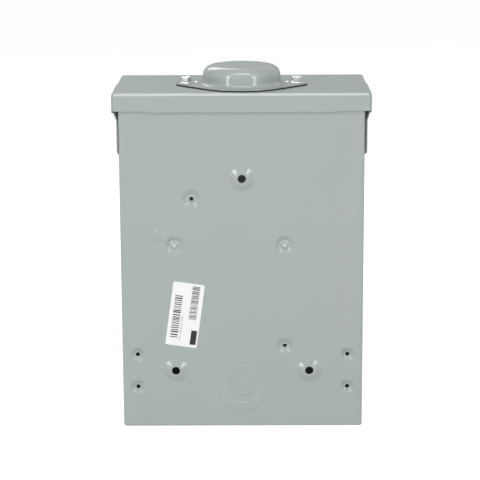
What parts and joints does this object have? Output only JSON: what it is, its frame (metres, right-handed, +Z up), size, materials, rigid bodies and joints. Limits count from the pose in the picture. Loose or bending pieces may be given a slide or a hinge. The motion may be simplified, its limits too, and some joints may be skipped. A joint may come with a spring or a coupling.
{
  "type": "meter socket enclosure",
  "caption": "Grey sheet-steel meter socket box with a rain hood, hub closure plate, ringless tilting cover, latch, and jaws on insulating blocks.",
  "frame": {"origin": "centre of the bounding box's underside, on the floor of the box, which the enclosure stands on", "axes": "+Z up from the floor of the box to the hood; +Y towards the wall behind the box; -Y is the front with the meter opening; +X is the right side seen from the front"},
  "size_m": [0.285, 0.1528, 0.4042],
  "materials": {
    "body_paint": "semi-gloss light grey powder coat, slightly green",
    "cover_paint": "semi-gloss light grey powder coat, slightly green",
    "gasket": "matt black closed-cell rubber",
    "zinc": "bright zinc plate",
    "paper": null,
    "galvanised": "galvanised sheet",
    "insulator": "moulded black insulator",
    "tinned": "tin-plated copper",
    "spring_steel": "stainless spring strip",
    "lug_aluminium": "extruded aluminium"
  },
  "bodies": {
    "enclosure": {"block_left": "insulator", "block_right": "insulator", "block_screws": "zinc", "body_shell": "body_paint", "cover_rail": "body_paint", "ground_lug": "lug_aluminium", "ground_set_screw": "zinc", "hole_plug": "gasket", "hood": "body_paint", "hub_closure_plate": "body_paint", "hub_gasket": "gasket", "hub_plate_rivets": "zinc", "hub_plate_screws": "zinc", "hub_weld_nuts": "zinc", "jaw_bolts": "zinc", "line_jaw_left": "tinned", "line_jaw_right": "tinned", "line_lug_left": "lug_aluminium", "line_lug_right": "lug_aluminium", "line_spring_left": "spring_steel", "line_spring_right": "spring_steel", "load_jaw_left": "tinned", "load_jaw_right": "tinned", "load_lug_left": "lug_aluminium", "load_lug_right": "lug_aluminium", "load_spring_left": "spring_steel", "load_spring_right": "spring_steel", "lug_floor_screws": "zinc", "lug_set_screws": "zinc", "neutral_lug_line": "lug_aluminium", "neutral_lug_load": "lug_aluminium", "neutral_screws": "zinc", "neutral_set_screws": "zinc", "neutral_strap": "tinned", "pan_screws": "zinc", "rear_label": "paper", "seal_staple": "zinc", "socket_pan": "galvanised", "staple_rivets": "zinc"},
    "cover": {"front_cover": "cover_paint"},
    "latch": {"latch_wing": "zinc", "latch_shaft": "zinc", "latch_cam": "zinc", "latch_nut": "zinc"}
  },
  "joints": [
    {"name": "cover_tilt", "type": "hinge", "parent": "enclosure", "child": "cover", "pos_m": [0, -0.04965, 0.376], "axis": [-1, 0, 0], "range_deg": [0, 50]},
    {"name": "latch_turn", "type": "hinge", "parent": "cover", "child": "latch", "pos_m": [0, -0.05105, 0.039], "axis": [0, -1, 0], "range_deg": [0, 90]}
  ]
}
